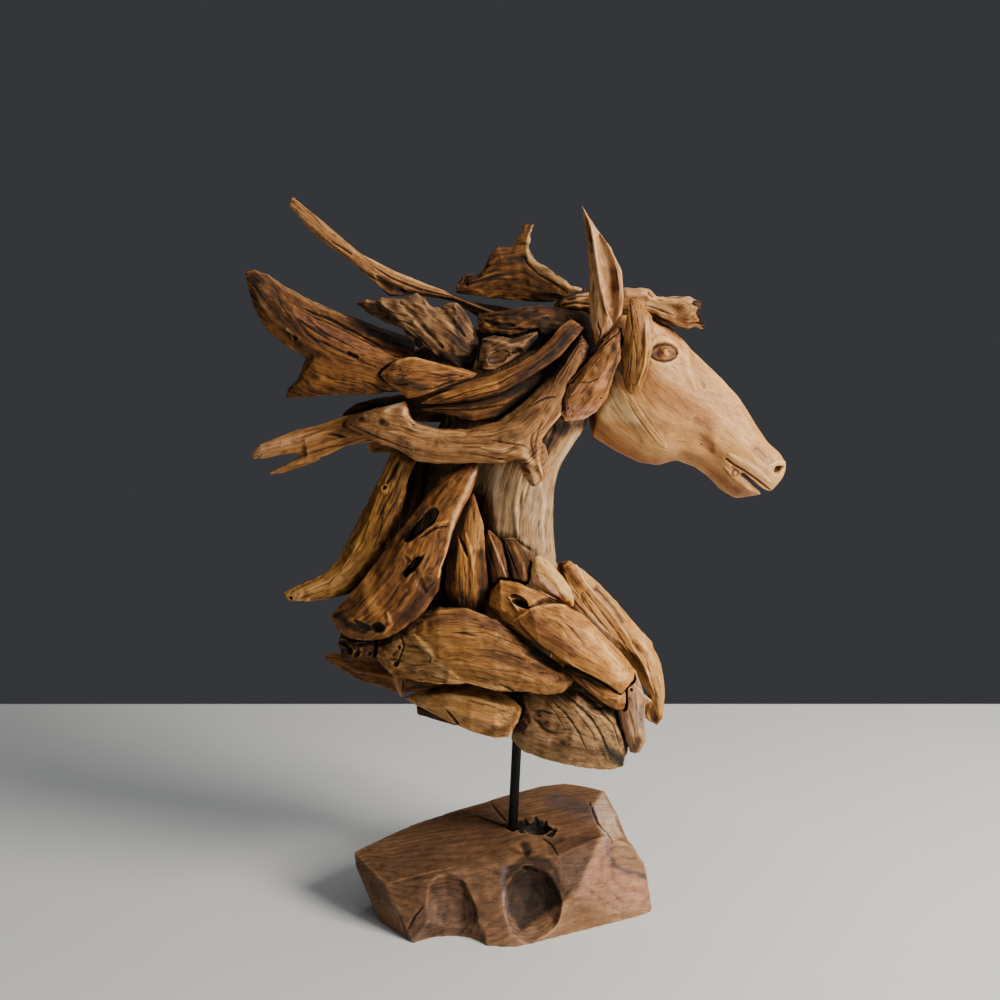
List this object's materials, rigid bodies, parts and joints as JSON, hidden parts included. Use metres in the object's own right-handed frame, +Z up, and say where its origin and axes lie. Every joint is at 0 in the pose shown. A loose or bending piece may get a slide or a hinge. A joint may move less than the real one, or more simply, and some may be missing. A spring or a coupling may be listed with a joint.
{
  "type": "driftwood horse head sculpture",
  "caption": "Horse's head and neck assembled from teak driftwood pieces, its mane streaming back, on a black rod in a hewn teak foot.",
  "frame": {"origin": "on the foot's underside, directly below the point where the rod leaves the foot", "axes": "+X the way the horse looks, +Y away from the viewer of its near side, +Z up"},
  "size_m": [0.6311, 0.254, 0.8619],
  "materials": {
    "carved_teak": "smooth sanded teak, pale tan, soft sheen",
    "pale_teak": "weathered teak root, pale, open grain",
    "orange_teak": "weathered teak root, orange-brown, cracked grain",
    "brown_teak": "weathered teak root, dark brown, rough",
    "grey_teak": "weathered teak root, grey-beige, finely streaked",
    "foot_teak": "hewn teak, dark brown with a pinkish heart, satin",
    "black_steel": "black paint, satin"
  },
  "bodies": {
    "root": {"back_slat": "orange_teak", "belly": "orange_teak", "belly_slat": "brown_teak", "brow_lock": "brown_teak", "collar_left": "brown_teak", "collar_mid": "brown_teak", "crown_antler": "brown_teak", "cup_knot": "grey_teak", "dark_leaf": "brown_teak", "far_belly": "brown_teak", "far_blade": "orange_teak", "far_branch": "pale_teak", "far_cheek": "orange_teak", "far_chip": "orange_teak", "far_collar": "brown_teak", "far_drip": "pale_teak", "far_ear": "pale_teak", "far_flank": "orange_teak", "far_keel": "brown_teak", "far_leaf": "brown_teak", "far_plank": "brown_teak", "far_ridge": "brown_teak", "far_shoulder": "orange_teak", "far_slab": "grey_teak", "far_slat": "brown_teak", "far_swoop": "orange_teak", "far_tongue": "orange_teak", "far_wing": "orange_teak", "flank": "orange_teak", "foot_block": "foot_teak", "forelock": "pale_teak", "fork_stick": "orange_teak", "front_shoulder": "orange_teak", "gold_chip": "orange_teak", "head": "carved_teak", "holed_plank": "orange_teak", "hook_stick": "brown_teak", "keel": "grey_teak", "leaf_slat": "orange_teak", "long_quill": "pale_teak", "lower_slat": "brown_teak", "nape_burl": "brown_teak", "near_branch": "pale_teak", "near_cheek": "orange_teak", "near_ear": "pale_teak", "near_shoulder": "orange_teak", "neck_trunk": "grey_teak", "ragged_slab": "grey_teak", "ridge_strip": "brown_teak", "rod": "black_steel", "rump": "orange_teak", "shoulder_drip": "pale_teak", "swoop": "orange_teak", "tail_chip": "pale_teak", "throat_blade": "orange_teak", "under_shoulder": "orange_teak", "wing": "orange_teak"}
  },
  "joints": []
}
